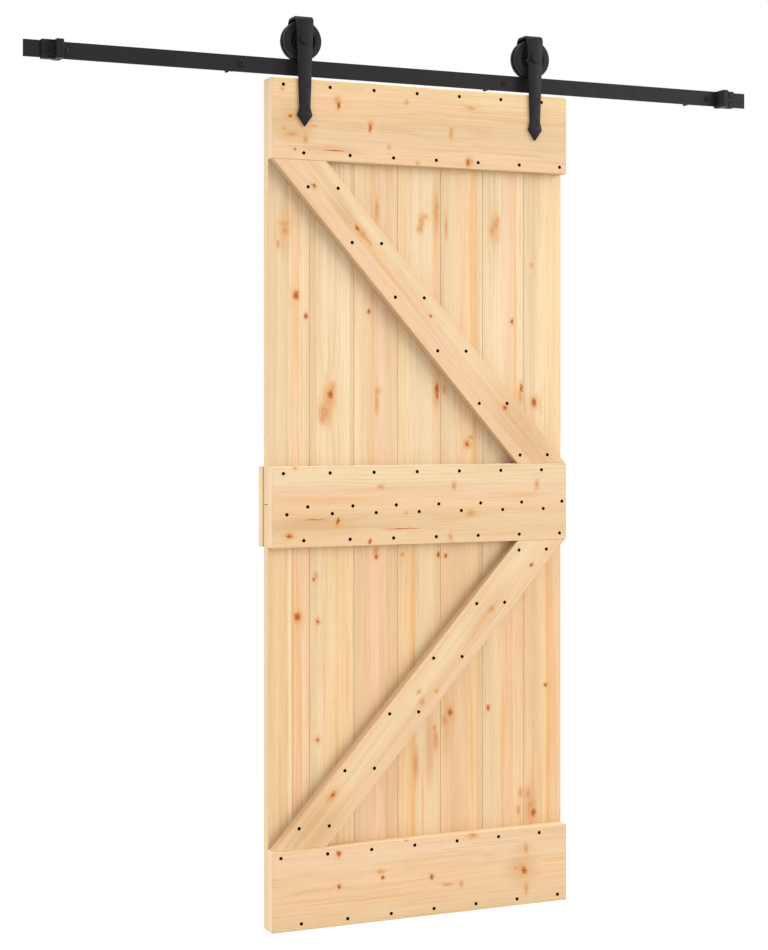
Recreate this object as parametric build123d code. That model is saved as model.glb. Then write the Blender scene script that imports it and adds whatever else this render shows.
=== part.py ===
from build123d import *
import math
import os

# A sliding plank door, hung by two strap hangers from a flat steel rail.
# Millimetres. X runs along the rail, Y into the wall, Z up. The origin is on the axis
# of the leftmost wall bolt, at the wall's face, so the door hangs in front of it at -Y.

# Door leaf
LEAF_WIDTH = 820.0
LEAF_HEIGHT = 2100.0
LEAF_GAP = 10.0               # from the leaf's top edge up to the rail
LEAF_FROM_RAIL_END = 608.5    # where the leaf stands at rest, from the rail's left end

# Front boards, braces and back batten
BOARD_THICKNESS = 30.0
BOARD_HEIGHT = 200.0
MIDDLE_BOARD_DROP = 6.0       # its middle, below the butt of the planks that it covers
BOARD_EASE = 1.2              # bevel along every sawn edge
BRACE_CUT = 140.0             # level width of a brace, as cut at its ends
BRACE_EDGE_GAP = 3.0
BATTEN_THICKNESS = 30.0
BATTEN_PROUD = 3.5            # how far the batten stands out past each side

# Tongued planks, an upper and a lower row, butted at the middle
PLANK_COUNT = 7
PLANK_TRIM = 10.0             # sawn off each outer plank
PLANK_THICKNESS = 30.0
PLANK_GAP = 0.3
PLANK_BEVEL = 1.2
BUTT_GAP = 1.5
TONGUE_LENGTH = 7.0
TONGUE_THICKNESS = 9.0
TONGUE_PLAY = 0.25

# Wood screws
SCREW_HEAD_RADIUS = 3.4
SCREW_HEAD_DEPTH = 3.0
SCREW_HEAD_PROUD = 0.3
SCREW_SHANK_RADIUS = 1.8
SCREW_SIDES = 6
SCREW_BITE = 20.0             # length in the last piece that a screw reaches
SCREW_SHIFT = 5.0             # all screws but the first stand this much further right
SCREW_DRIFT = 1.5             # and each next one this much less
SCREW_ROW_EDGE = 17.0         # from a board's edge to its outer screw rows
SCREW_ROW_INNER = 100.0       # from the middle board's lower edge up to its inner rows
SCREW_ROW_SPLIT = 18.0
BRACE_SCREW_PAIRS = 6
BRACE_SCREW_SPREAD = 80.0
TOP_BOARD_SCREW_STARTS = (40.0, 93.5)     # first screw of the upper row and of the lower row
BOTTOM_BOARD_SCREW_STARTS = (33.4, 87.2)
MIDDLE_BOARD_SCREW_STARTS = (40.0, 104.0, 49.0, 93.5)   # its four rows, from the top down
INNER_ROW_SHIFT = 2.0
INNER_ROW_DRIFT = 1.6
UPPER_BRACE_SCREW_ENDS = (66.0, 22.0)     # from the brace's ends to its outermost pairs
LOWER_BRACE_SCREW_ENDS = (24.0, 52.0)
UPPER_BRACE_SCREW_SIDE = (3.0, -4.0)      # how far those pairs stand right of its middle
LOWER_BRACE_SCREW_SIDE = (-5.0, -9.0)

# Small repeated round pieces and their holes are drawn with this many flat sides
FEW_SIDES = 12

# Rail, wall bolts and their spacers
RAIL_LENGTH = 2000.0
RAIL_HEIGHT = 40.0
RAIL_THICKNESS = 6.0
RAIL_END_BEVEL = 5.0
RAIL_END_BEVEL_DEPTH = 3.0
BOLT_FROM_LEFT = (100.0, 538.0, 1258.0)
BOLT_FROM_RIGHT = 122.0       # the last bolt, from the rail's right end
BOLT_RADIUS = 4.0             # over the thread, which goes into the wall
BOLT_SHANK_RADIUS = 3.8
BOLT_PLAY = 0.3
BOLT_IN_WALL = 50.0
BOLT_POINT = 8.0
BOLT_HEAD_RADIUS = 9.0
BOLT_HEAD_HEIGHT = 4.0
BOLT_HEAD_BEVEL = 2.0
BOLT_HEAD_SIDES = 16
SPACER_LENGTH = 70.0
SPACER_RADIUS = 8.0

# Wheels and their bearings
GROOVE_RADIUS = 46.0
FLANGE_DEPTH = 3.5
FLANGE_BEVEL = 3.5
WHEEL_WIDTH = 33.0
GROOVE_PLAY = 1.25            # each side of the rail
RIM_INNER_RADIUS = 32.0
WEB_WIDTH = 14.0
WHEEL_SEAT = 0.3              # running gap between groove and rail
BEARING_RADIUS = 16.0
RACE_THICKNESS = 2.8
RACE_SIDES = 24
BALL_COUNT = 7
BALL_PLAY = 0.2

# Strap hangers
LEFT_HANGER_FROM_SEAM = 25.0  # its bolts pass through the outer plank, this far from its inner seam
RIGHT_HANGER_FROM_SEAM = 15.0
STRAP_THICKNESS = 6.0
STRAP_BEND = 16.0             # outside radius of each bend over the wheel
STRAP_INSIDE = 51.0           # from the front leg to the rear leg
STRAP_HEADROOM = 3.2          # over the wheel
STRAP_TOP_WIDTH = 44.8
STRAP_NECK_WIDTH = 28.2
STRAP_POINT_WIDTH = 39.0
STRAP_NECK_DROP = 71.0        # below the leaf's top edge
STRAP_POINT_DROP = 91.0
STRAP_TIP_DROP = 117.5
STRAP_REAR_BELOW_AXLE = 24.0
STRAP_REAR_ROUND = 10.0
STRAP_BOLT_DROPS = (15.0, 72.0)

# Axles and through bolts
AXLE_RADIUS = 6.0
AXLE_PLAY = 0.05
AXLE_HEAD_RADIUS = 13.5
AXLE_HEAD_HEIGHT = 6.0
AXLE_HEAD_BEVEL = 1.5
AXLE_SPACER_RADIUS = 9.0
AXLE_NUT_FLATS = 18.0
AXLE_NUT_HEIGHT = 10.0
AXLE_END = 3.0                # thread past the nut
THROUGH_RADIUS = 4.0
THROUGH_HOLE_PLAY = 0.2
THROUGH_HEAD_RADIUS = 8.0
THROUGH_SOCKET_FLATS = 5.0
THROUGH_SOCKET_DEPTH = 3.0
THROUGH_NUT_FLATS = 13.0
THROUGH_NUT_HEIGHT = 6.5
THROUGH_END = 2.5
WASHER_THICKNESS = 2.0
WASHER_RIM = 5.0

# End stops
STOP_FROM_END = 42.0          # from the rail's end to the stop
STOP_CLAMP_LENGTH = 15.0
STOP_WINDOW_LENGTH = 16.0
STOP_PLATE_LENGTH = 15.0
STOP_PLATE_DEPTH = 47.0
STOP_PLATE_FRONT = 27.0       # in front of the rail's front face
STOP_WALL = 6.0
STOP_OVERHANG = 2.5           # above and below the rail
STOP_PLAY = 0.1
STOP_ROUND = 1.5
STOP_TAB_LENGTH = 9.0
STOP_TAB_HEIGHT = 7.0
STOP_TAB_THICKNESS = 3.0
STOP_PAD_THICKNESS = 3.0
STOP_PAD_MARGIN = 2.0
SET_SCREW_RADIUS = 3.0
SET_SCREW_SPREAD = 14.0
SET_SCREW_SOCKET_FLATS = 3.0

# Heights
rail_top = RAIL_HEIGHT / 2
rail_bottom = -RAIL_HEIGHT / 2
leaf_top = rail_bottom - LEAF_GAP
leaf_bottom = leaf_top - LEAF_HEIGHT
butt_height = leaf_bottom + LEAF_HEIGHT / 2
middle_bottom = butt_height - MIDDLE_BOARD_DROP - BOARD_HEIGHT / 2
middle_top = middle_bottom + BOARD_HEIGHT
upper_board_bottom = leaf_top - BOARD_HEIGHT
lower_board_top = leaf_bottom + BOARD_HEIGHT
axle_z = rail_top + WHEEL_SEAT + GROOVE_RADIUS
flange_radius = GROOVE_RADIUS + FLANGE_DEPTH
strap_top = axle_z + flange_radius + STRAP_HEADROOM + STRAP_THICKNESS

# Places along the rail
rail_left = -BOLT_FROM_LEFT[0]
rail_right = rail_left + RAIL_LENGTH
wall_bolt_places = [rail_left + place for place in BOLT_FROM_LEFT] + [rail_right - BOLT_FROM_RIGHT]
leaf_left = rail_left + LEAF_FROM_RAIL_END
leaf_right = leaf_left + LEAF_WIDTH
plank_cover = (LEAF_WIDTH + 2 * PLANK_TRIM) / PLANK_COUNT
outer_plank = plank_cover - PLANK_TRIM
left_hanger = leaf_left + outer_plank - LEFT_HANGER_FROM_SEAM
right_hanger = leaf_right - outer_plank + RIGHT_HANGER_FROM_SEAM
hangers = {"left": left_hanger, "right": right_hanger}
strap_bolt_places = [(x, leaf_top - drop) for x in hangers.values() for drop in STRAP_BOLT_DROPS]

# Depths, from the wall's face at zero out to the front
rail_back = -SPACER_LENGTH
rail_front = rail_back - RAIL_THICKNESS
rail_middle = (rail_back + rail_front) / 2
leaf_front = rail_middle - STRAP_INSIDE / 2
plank_front = leaf_front + BOARD_THICKNESS
plank_back = plank_front + PLANK_THICKNESS
batten_back = plank_back + BATTEN_THICKNESS
strap_front = leaf_front - STRAP_THICKNESS
rear_leg_front = leaf_front + STRAP_INSIDE
rear_leg_back = rear_leg_front + STRAP_THICKNESS


def block(x0, x1, y0, y1, z0, z1):
    middle = ((x0 + x1) / 2, (y0 + y1) / 2, (z0 + z1) / 2)
    return Pos(*middle) * Box(abs(x1 - x0), abs(y1 - y0), abs(z1 - z0))


def rod(x, z, y0, y1, radius):
    """A round bar or hole along Y."""
    return Pos(x, (y0 + y1) / 2, z) * Rot(90, 0, 0) * Cylinder(radius, abs(y1 - y0))


def sided_bar(x, z, y0, y1, sides, radius):
    """A bar along Y with flat sides, its corners at the radius."""
    outline = Plane.XZ * RegularPolygon(radius, sides)
    return Pos(x, y0, z) * extrude(outline, amount=y1 - y0, dir=(0, 1, 0))


def flats(x, z, y0, y1, sides, across):
    """A bar or hole along Y with flat sides, sized across them."""
    return sided_bar(x, z, y0, y1, sides, across / 2 / math.cos(math.pi / sides))


def tapered(x, z, y0, y1, sides, radius0, radius1):
    """A bar with flat sides that slims from radius0 at y0 to radius1 at y1."""
    outline = Pos(x, y0, z) * (Plane.XZ * RegularPolygon(radius0, sides))
    tip = y0 + (y1 - y0) * radius0 / (radius0 - radius1)
    pyramid = loft([outline, Vertex(x, tip, z)], ruled=True)
    return pyramid & block(x - radius0, x + radius0, y0, y1, z - radius0, z + radius0)


def small_rod(x, z, y0, y1, radius):
    return sided_bar(x, z, y0, y1, FEW_SIDES, radius)


def small_hole(x, z, y0, y1, radius):
    return flats(x, z, y0, y1, FEW_SIDES, 2 * radius)


def small_tube(x, z, y0, y1, outer, inner):
    return small_rod(x, z, y0, y1, outer) - small_hole(x, z, y0, y1, inner)


def eased(board, ease=BOARD_EASE):
    return chamfer(board.edges(), ease)


def sawn_outline(points, y0, y1):
    """A board of the given outline in X and Z, between two depths."""
    outline = make_face(Plane.XZ * Polyline(*points, close=True))
    return Pos(0, y0, 0) * extrude(outline, amount=y1 - y0, dir=(0, 1, 0))


def plank_left(index):
    return leaf_left if index == 0 else leaf_left + index * plank_cover - PLANK_TRIM


def plank(index, bottom, top):
    """One plank: a tongue on its right edge and a groove in its left one."""
    left = plank_left(index)
    last = index == PLANK_COUNT - 1
    right = leaf_right if last else plank_left(index + 1) - PLANK_GAP
    middle = (plank_front + plank_back) / 2
    tongue = TONGUE_THICKNESS / 2
    groove = tongue + TONGUE_PLAY
    groove_end = left + TONGUE_LENGTH - PLANK_GAP + 2 * TONGUE_PLAY
    points = [(left + PLANK_BEVEL, plank_front), (right - PLANK_BEVEL, plank_front)]
    points += [(right, plank_front + PLANK_BEVEL)]
    if not last:
        tongue_end = right + TONGUE_LENGTH
        points += [(right, middle - tongue), (tongue_end, middle - tongue)]
        points += [(tongue_end, middle + tongue), (right, middle + tongue)]
    points += [(right, plank_back - PLANK_BEVEL), (right - PLANK_BEVEL, plank_back)]
    points += [(left + PLANK_BEVEL, plank_back), (left, plank_back - PLANK_BEVEL)]
    if index > 0:
        points += [(left, middle + groove), (groove_end, middle + groove)]
        points += [(groove_end, middle - groove), (left, middle - groove)]
    points += [(left, plank_front + PLANK_BEVEL)]
    section = make_face(Polyline(*points, close=True))
    return Pos(0, 0, bottom) * extrude(section, amount=top - bottom, dir=(0, 0, 1))


def through_holes(piece):
    """Drills a leaf board or plank for the strap bolts that pass through it."""
    radius = THROUGH_RADIUS + THROUGH_HOLE_PLAY
    for x, z in strap_bolt_places:
        piece -= small_hole(x, z, leaf_front, plank_back, radius)
    return piece


def front_board(bottom):
    y1 = leaf_front + BOARD_THICKNESS
    return eased(block(leaf_left, leaf_right, leaf_front, y1, bottom, bottom + BOARD_HEIGHT))


def brace_left_edges(upper):
    """Where a brace's left edge starts, at its upper and its lower end."""
    outer = leaf_left + BRACE_EDGE_GAP
    inner = leaf_right - BRACE_EDGE_GAP - BRACE_CUT
    return (outer, inner) if upper else (inner, outer)


def brace_ends(upper):
    return (upper_board_bottom, middle_top) if upper else (middle_bottom, lower_board_top)


def brace(upper):
    top, bottom = brace_ends(upper)
    at_top, at_bottom = brace_left_edges(upper)
    points = [(at_top, top), (at_top + BRACE_CUT, top)]
    points += [(at_bottom + BRACE_CUT, bottom), (at_bottom, bottom)]
    return eased(sawn_outline(points, leaf_front, plank_front))


def batten():
    left = leaf_left - BATTEN_PROUD
    right = leaf_right + BATTEN_PROUD
    return eased(block(left, right, plank_back, batten_back, middle_bottom, middle_top))


def wood_screw(end):
    """A countersunk screw from the leaf's front, tapering to a point at the given depth."""
    face = leaf_front - SCREW_HEAD_PROUD
    neck = face + SCREW_HEAD_DEPTH
    head = tapered(0, 0, face, neck, SCREW_SIDES, SCREW_HEAD_RADIUS, SCREW_SHANK_RADIUS)
    return head + tapered(0, 0, neck, end, SCREW_SIDES, SCREW_SHANK_RADIUS, 0)


def wood_screws(places, end):
    one = wood_screw(end)
    return [Pos(x, 0, z) * one for x, z in places]


def screw_row(z, start, shift=SCREW_SHIFT, drift=SCREW_DRIFT):
    """One screw in each plank, the first one start to the right of the uncut plank's edge."""
    places = []
    for index in range(PLANK_COUNT):
        x = leaf_left - PLANK_TRIM + index * plank_cover + start
        if index > 0:
            x += shift - drift * index
        places.append((x, z))
    return places


def board_screws(bottom, upper_start, lower_start):
    """Two rows of screws along a front board, offset from each other."""
    places = screw_row(bottom + BOARD_HEIGHT - SCREW_ROW_EDGE, upper_start)
    places += screw_row(bottom + SCREW_ROW_EDGE, lower_start)
    return wood_screws(places, plank_front + SCREW_BITE)


def middle_screws():
    """Four rows, long enough to reach the batten behind."""
    starts = MIDDLE_BOARD_SCREW_STARTS
    inner = middle_bottom + SCREW_ROW_INNER
    places = screw_row(middle_top - SCREW_ROW_EDGE, starts[0])
    places += screw_row(inner, starts[1], INNER_ROW_SHIFT, INNER_ROW_DRIFT)
    places += screw_row(inner - SCREW_ROW_SPLIT, starts[2], INNER_ROW_SHIFT, INNER_ROW_DRIFT)
    places += screw_row(middle_bottom + SCREW_ROW_EDGE, starts[3])
    return wood_screws(places, plank_back + SCREW_BITE)


def brace_screws(upper, ends, side):
    """Pairs of screws down a brace: how far the outer pairs stand from its ends and its middle."""
    top, bottom = brace_ends(upper)
    at_top, at_bottom = brace_left_edges(upper)
    places = []
    for index in range(BRACE_SCREW_PAIRS):
        share = index / (BRACE_SCREW_PAIRS - 1)
        z = (top - ends[0]) * (1 - share) + (bottom + ends[1]) * share
        edge = at_top + (at_bottom - at_top) * (top - z) / (top - bottom)
        middle = edge + BRACE_CUT / 2 + side[0] * (1 - share) + side[1] * share
        places += [(middle - BRACE_SCREW_SPREAD / 2, z), (middle + BRACE_SCREW_SPREAD / 2, z)]
    return wood_screws(places, plank_front + SCREW_BITE)


def rail():
    bar = block(rail_left, rail_right, rail_front, rail_back, rail_bottom, rail_top)
    ends = bar.edges().filter_by(Axis.Z).group_by(Axis.Y)[0]
    for end, along in ((ends.sort_by(Axis.X)[0], Axis.X), (ends.sort_by(Axis.X)[-1], -Axis.X)):
        front_face = bar.faces().sort_by(Axis.Y)[0]
        bar = chamfer(end, RAIL_END_BEVEL, RAIL_END_BEVEL_DEPTH, reference=front_face)
        ends = bar.edges().filter_by(Axis.Z).group_by(Axis.Y)[0]
    for x in wall_bolt_places:
        bar -= small_hole(x, 0, rail_front, rail_back, BOLT_RADIUS + BOLT_PLAY)
    return bar


def wall_bolt(x):
    """A low round head before the rail, a plain shank in the spacer, then the thread."""
    rim = rail_front - BOLT_HEAD_HEIGHT + BOLT_HEAD_BEVEL
    head = sided_bar(x, 0, rim, rail_front, BOLT_HEAD_SIDES, BOLT_HEAD_RADIUS)
    face_radius = BOLT_HEAD_RADIUS - BOLT_HEAD_BEVEL
    face = rail_front - BOLT_HEAD_HEIGHT
    bevel = tapered(x, 0, rim, face, BOLT_HEAD_SIDES, BOLT_HEAD_RADIUS, face_radius)
    shank = small_rod(x, 0, rail_front, 0, BOLT_SHANK_RADIUS)
    thread_end = BOLT_IN_WALL - BOLT_POINT
    thread = rod(x, 0, 0, thread_end, BOLT_RADIUS)
    point = tapered(x, 0, thread_end, BOLT_IN_WALL, FEW_SIDES, BOLT_RADIUS, 0)
    return head + bevel + shank + thread + point


def wall_spacer(x):
    return small_tube(x, 0, rail_back, 0, SPACER_RADIUS, BOLT_RADIUS + BOLT_PLAY)


def wheel(x):
    """A turned steel wheel: flanged rim with a groove for the rail, thin web and bearing seat."""
    half = WHEEL_WIDTH / 2
    web = WEB_WIDTH / 2
    groove = RAIL_THICKNESS / 2 + GROOVE_PLAY
    side = [(BEARING_RADIUS, web), (RIM_INNER_RADIUS, web), (RIM_INNER_RADIUS, half)]
    side += [(flange_radius, half), (flange_radius, groove), (GROOVE_RADIUS, groove)]
    points = side + [(radius, -y) for radius, y in reversed(side)]
    section = make_face(Polyline(*points, close=True))
    corners = [v for v in section.vertices() if v.X > GROOVE_RADIUS and abs(v.Y) > groove + 1]
    section = chamfer(corners, FLANGE_BEVEL)
    return Pos(x, rail_middle, axle_z) * revolve(section, Axis.Y)


def outer_race(x):
    y0 = rail_middle - WEB_WIDTH / 2
    y1 = rail_middle + WEB_WIDTH / 2
    inner = 2 * (BEARING_RADIUS - RACE_THICKNESS)
    race = sided_bar(x, axle_z, y0, y1, RACE_SIDES, BEARING_RADIUS)
    return race - flats(x, axle_z, y0, y1, RACE_SIDES, inner)


def inner_race_radius():
    return AXLE_RADIUS + AXLE_PLAY + RACE_THICKNESS


def inner_race(x):
    y0 = rail_middle - WEB_WIDTH / 2
    y1 = rail_middle + WEB_WIDTH / 2
    return small_tube(x, axle_z, y0, y1, inner_race_radius(), AXLE_RADIUS + AXLE_PLAY)


def ball(radius):
    """A ball drawn with few flat faces, every corner of it at the radius."""
    half = radius / math.sqrt(1 + 2 * (math.sqrt(2) - 1) ** 2)
    return chamfer(Box(2 * half, 2 * half, 2 * half).edges(), half * (2 - math.sqrt(2)))


def balls(x):
    outer = BEARING_RADIUS - RACE_THICKNESS
    inner = inner_race_radius()
    pitch = (outer + inner) / 2
    one = ball((outer - inner) / 2 - BALL_PLAY)
    turns = [2 * math.pi * index / BALL_COUNT for index in range(BALL_COUNT)]
    places = [(x + pitch * math.cos(turn), axle_z + pitch * math.sin(turn)) for turn in turns]
    return [Pos(ball_x, rail_middle, ball_z) * one for ball_x, ball_z in places]


def strap(x):
    """One flat bar bent over the wheel: a long pointed leg in front, a short one behind."""
    half = STRAP_TOP_WIDTH / 2
    tip = leaf_top - STRAP_TIP_DROP
    outer = block(x - half, x + half, strap_front, rear_leg_back, tip, strap_top)
    outer = fillet(outer.edges().filter_by(Axis.X).group_by(Axis.Z)[-1], STRAP_BEND)
    inner_top = strap_top - STRAP_THICKNESS
    inner = block(x - half, x + half, leaf_front, rear_leg_front, tip, inner_top)
    inner = fillet(inner.edges().filter_by(Axis.X).group_by(Axis.Z)[-1], STRAP_BEND - STRAP_THICKNESS)
    rear_end = axle_z - STRAP_REAR_BELOW_AXLE
    bent = outer - inner - block(x - half, x + half, rear_leg_front, rear_leg_back, tip, rear_end)
    corners = bent.edges().filter_by(Axis.Y).filter_by_position(Axis.Z, rear_end - 1, rear_end + 1)
    bent = fillet(corners, STRAP_REAR_ROUND)
    bend_start = strap_top - STRAP_BEND
    neck = leaf_top - STRAP_NECK_DROP
    widest = leaf_top - STRAP_POINT_DROP
    right = [(half, strap_top), (half, bend_start), (STRAP_NECK_WIDTH / 2, neck)]
    right += [(STRAP_POINT_WIDTH / 2, widest), (0, tip)]
    left = [(-across, z) for across, z in reversed(right[:-1])]
    points = [(x + across, z) for across, z in right + left]
    bent = bent & sawn_outline(points, strap_front, rear_leg_back)
    bent -= rod(x, axle_z, strap_front, rear_leg_back, AXLE_RADIUS + AXLE_PLAY)
    for drop in STRAP_BOLT_DROPS:
        z = leaf_top - drop
        bent -= small_hole(x, z, strap_front, leaf_front, THROUGH_RADIUS + THROUGH_HOLE_PLAY)
        bent -= countersunk(x, z)
    return bent


def countersunk(x, z):
    """The cone of a flat head, flush with the strap's front."""
    y1 = strap_front + THROUGH_HEAD_RADIUS - THROUGH_RADIUS
    return tapered(x, z, strap_front, y1, FEW_SIDES, THROUGH_HEAD_RADIUS, THROUGH_RADIUS)


def through_bolt(x, z):
    socket = flats(x, z, strap_front, strap_front + THROUGH_SOCKET_DEPTH, 6, THROUGH_SOCKET_FLATS)
    end = plank_back + WASHER_THICKNESS + THROUGH_NUT_HEIGHT + THROUGH_END
    start = strap_front + THROUGH_HEAD_RADIUS - THROUGH_RADIUS
    return countersunk(x, z) + small_rod(x, z, start, end, THROUGH_RADIUS) - socket


def washer(x, z, y0, bolt_radius):
    outer = bolt_radius + WASHER_RIM
    return small_tube(x, z, y0, y0 + WASHER_THICKNESS, outer, bolt_radius + AXLE_PLAY)


def nut(x, z, y0, bolt_radius, across, height):
    hole = small_hole(x, z, y0, y0 + height, bolt_radius + AXLE_PLAY)
    return flats(x, z, y0, y0 + height, 6, across) - hole


def axle(x):
    """A round-headed bolt that the wheel turns on."""
    head = rod(x, axle_z, strap_front - AXLE_HEAD_HEIGHT, strap_front, AXLE_HEAD_RADIUS)
    rim = head.edges().filter_by(GeomType.CIRCLE).sort_by(Axis.Y)[0]
    head = chamfer(rim, AXLE_HEAD_BEVEL)
    end = rear_leg_back + WASHER_THICKNESS + AXLE_NUT_HEIGHT + AXLE_END
    return head + rod(x, axle_z, strap_front, end, AXLE_RADIUS)


def axle_spacers(x):
    """Two sleeves that hold the bearing's inner race midway between the strap's legs."""
    race_front = rail_middle - WEB_WIDTH / 2
    race_back = rail_middle + WEB_WIDTH / 2
    inner = AXLE_RADIUS + AXLE_PLAY
    front = small_tube(x, axle_z, leaf_front, race_front, AXLE_SPACER_RADIUS, inner)
    back = small_tube(x, axle_z, race_back, rear_leg_front, AXLE_SPACER_RADIUS, inner)
    return [front, back]


def stop_places(side):
    """Along the rail from its end inwards: start of clamp, window, plate and pad, then the pad's face."""
    end, inwards = (rail_left, 1) if side == "left" else (rail_right, -1)
    steps = (STOP_FROM_END, STOP_CLAMP_LENGTH, STOP_WINDOW_LENGTH, STOP_PLATE_LENGTH, STOP_PAD_THICKNESS)
    places = []
    for step in steps:
        end += inwards * step
        places.append(end)
    return places


def stop(side):
    """A steel stop round the rail: clamp, two thin bridges over a window, and a deep strike plate."""
    clamp, window, plate, pad = stop_places(side)[:4]
    low = rail_bottom - STOP_OVERHANG
    high = rail_top + STOP_OVERHANG
    front = rail_front - STOP_WALL
    back = rail_back + STOP_WALL
    plate_front = rail_front - STOP_PLATE_FRONT
    body = block(clamp, plate, front, back, low, high)
    body -= block(window, plate, front, back, rail_bottom + STOP_PLAY, rail_top - STOP_PLAY)
    strike = block(plate, pad, plate_front, plate_front + STOP_PLATE_DEPTH, low, high)
    strike = fillet(strike.edges().filter_by(Axis.X), STOP_ROUND)
    inwards = 1 if side == "left" else -1
    tab_end = window + inwards * STOP_TAB_LENGTH
    tab_back = front + STOP_TAB_THICKNESS
    tab = block(window, tab_end, front, tab_back, -STOP_TAB_HEIGHT / 2, STOP_TAB_HEIGHT / 2)
    body = body + strike + tab
    slot_y0 = rail_front - STOP_PLAY
    slot_y1 = rail_back + STOP_PLAY
    body -= block(clamp, pad, slot_y0, slot_y1, rail_bottom - STOP_PLAY, rail_top + STOP_PLAY)
    for x, z in set_screw_places(side):
        body -= small_hole(x, z, front, slot_y0, SET_SCREW_RADIUS)
    return body


def set_screw_places(side):
    clamp, window = stop_places(side)[:2]
    x = (clamp + window) / 2
    return [(x, -SET_SCREW_SPREAD / 2), (x, SET_SCREW_SPREAD / 2)]


def set_screw(x, z):
    """A headless screw through the clamp's front wall, its end on the rail."""
    front = rail_front - STOP_WALL
    socket = flats(x, z, front, front + SET_SCREW_RADIUS, 6, SET_SCREW_SOCKET_FLATS)
    return small_rod(x, z, front, rail_front, SET_SCREW_RADIUS) - socket


def stop_rubbers(side):
    """Rubber blocks that fill the stop's window, before and behind the rail."""
    window, plate = stop_places(side)[1:3]
    low = rail_bottom + STOP_PLAY
    high = rail_top - STOP_PLAY
    front = rail_front - STOP_WALL + STOP_TAB_THICKNESS
    back = rail_back + STOP_WALL - STOP_TAB_THICKNESS
    before = block(window, plate, front, rail_front, low, high)
    behind = block(window, plate, rail_back, back, low, high)
    return [before, behind]


def stop_pad(side):
    """A rubber facing on the strike plate, open where the rail runs through."""
    pad, face = stop_places(side)[3:]
    front = rail_front - STOP_PLATE_FRONT + STOP_PAD_MARGIN
    back = rail_front - STOP_PLATE_FRONT + STOP_PLATE_DEPTH - STOP_PAD_MARGIN
    low = rail_bottom - STOP_OVERHANG + STOP_ROUND / 2
    high = rail_top + STOP_OVERHANG - STOP_ROUND / 2
    sheet = block(pad, face, front, back, low, high)
    slot_y0 = rail_front - STOP_PLAY
    slot_y1 = rail_back + STOP_PLAY
    return sheet - block(pad, face, slot_y0, slot_y1, rail_bottom - STOP_PLAY, rail_top + STOP_PLAY)


def planks():
    nodes = {}
    for index in range(PLANK_COUNT):
        upper = plank(index, butt_height + BUTT_GAP / 2, leaf_top)
        nodes[f"upper_plank_{index + 1}"] = through_holes(upper)
        nodes[f"lower_plank_{index + 1}"] = plank(index, leaf_bottom, butt_height - BUTT_GAP / 2)
    return nodes


def leaf():
    nodes = planks()
    nodes["top_board"] = through_holes(front_board(upper_board_bottom))
    nodes["middle_board"] = front_board(middle_bottom)
    nodes["bottom_board"] = front_board(leaf_bottom)
    nodes["upper_brace"] = brace(True)
    nodes["lower_brace"] = brace(False)
    nodes["back_batten"] = batten()
    nodes["top_board_screws"] = board_screws(upper_board_bottom, *TOP_BOARD_SCREW_STARTS)
    nodes["middle_board_screws"] = middle_screws()
    nodes["bottom_board_screws"] = board_screws(leaf_bottom, *BOTTOM_BOARD_SCREW_STARTS)
    nodes["upper_brace_screws"] = brace_screws(True, UPPER_BRACE_SCREW_ENDS, UPPER_BRACE_SCREW_SIDE)
    nodes["lower_brace_screws"] = brace_screws(False, LOWER_BRACE_SCREW_ENDS, LOWER_BRACE_SCREW_SIDE)
    return nodes


def hanger_parts():
    nodes = {}
    for side, x in hangers.items():
        nodes[f"wheel_{side}"] = wheel(x)
        nodes[f"outer_race_{side}"] = outer_race(x)
        nodes[f"bearing_balls_{side}"] = balls(x)
        nodes[f"strap_{side}"] = strap(x)
    both = hangers.values()
    nodes["inner_races"] = [inner_race(x) for x in both]
    nodes["axle_bolts"] = [axle(x) for x in both]
    nodes["axle_spacers"] = [sleeve for x in both for sleeve in axle_spacers(x)]
    nodes["axle_washers"] = [washer(x, axle_z, rear_leg_back, AXLE_RADIUS) for x in both]
    nut_y = rear_leg_back + WASHER_THICKNESS
    sizes = (AXLE_RADIUS, AXLE_NUT_FLATS, AXLE_NUT_HEIGHT)
    nodes["axle_nuts"] = [nut(x, axle_z, nut_y, *sizes) for x in both]
    nodes["strap_bolts"] = [through_bolt(x, z) for x, z in strap_bolt_places]
    washers = [washer(x, z, plank_back, THROUGH_RADIUS) for x, z in strap_bolt_places]
    nodes["strap_washers"] = washers
    nut_y = plank_back + WASHER_THICKNESS
    sizes = (THROUGH_RADIUS, THROUGH_NUT_FLATS, THROUGH_NUT_HEIGHT)
    nodes["strap_nuts"] = [nut(x, z, nut_y, *sizes) for x, z in strap_bolt_places]
    return nodes


def track():
    nodes = {"rail": rail()}
    nodes["wall_bolts"] = [wall_bolt(x) for x in wall_bolt_places]
    nodes["wall_spacers"] = [wall_spacer(x) for x in wall_bolt_places]
    screws = []
    for side in ("left", "right"):
        nodes[f"stop_{side}"] = stop(side)
        nodes[f"stop_pad_{side}"] = stop_pad(side)
        nodes[f"stop_rubbers_{side}"] = stop_rubbers(side)
        screws += [set_screw(x, z) for x, z in set_screw_places(side)]
    nodes["set_screws"] = screws
    return nodes


def write(nodes):
    os.makedirs("parts", exist_ok=True)
    for name, shape in nodes.items():
        solids = shape if isinstance(shape, list) else [shape]
        found = [solid for piece in solids for solid in piece.solids()]
        export_step(found[0] if len(found) == 1 else Compound(found), f"parts/{name}.step")


write({**leaf(), **hanger_parts(), **track()})
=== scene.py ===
import bpy
import bmesh
import math
import random
from mathutils import Matrix, Vector


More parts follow.
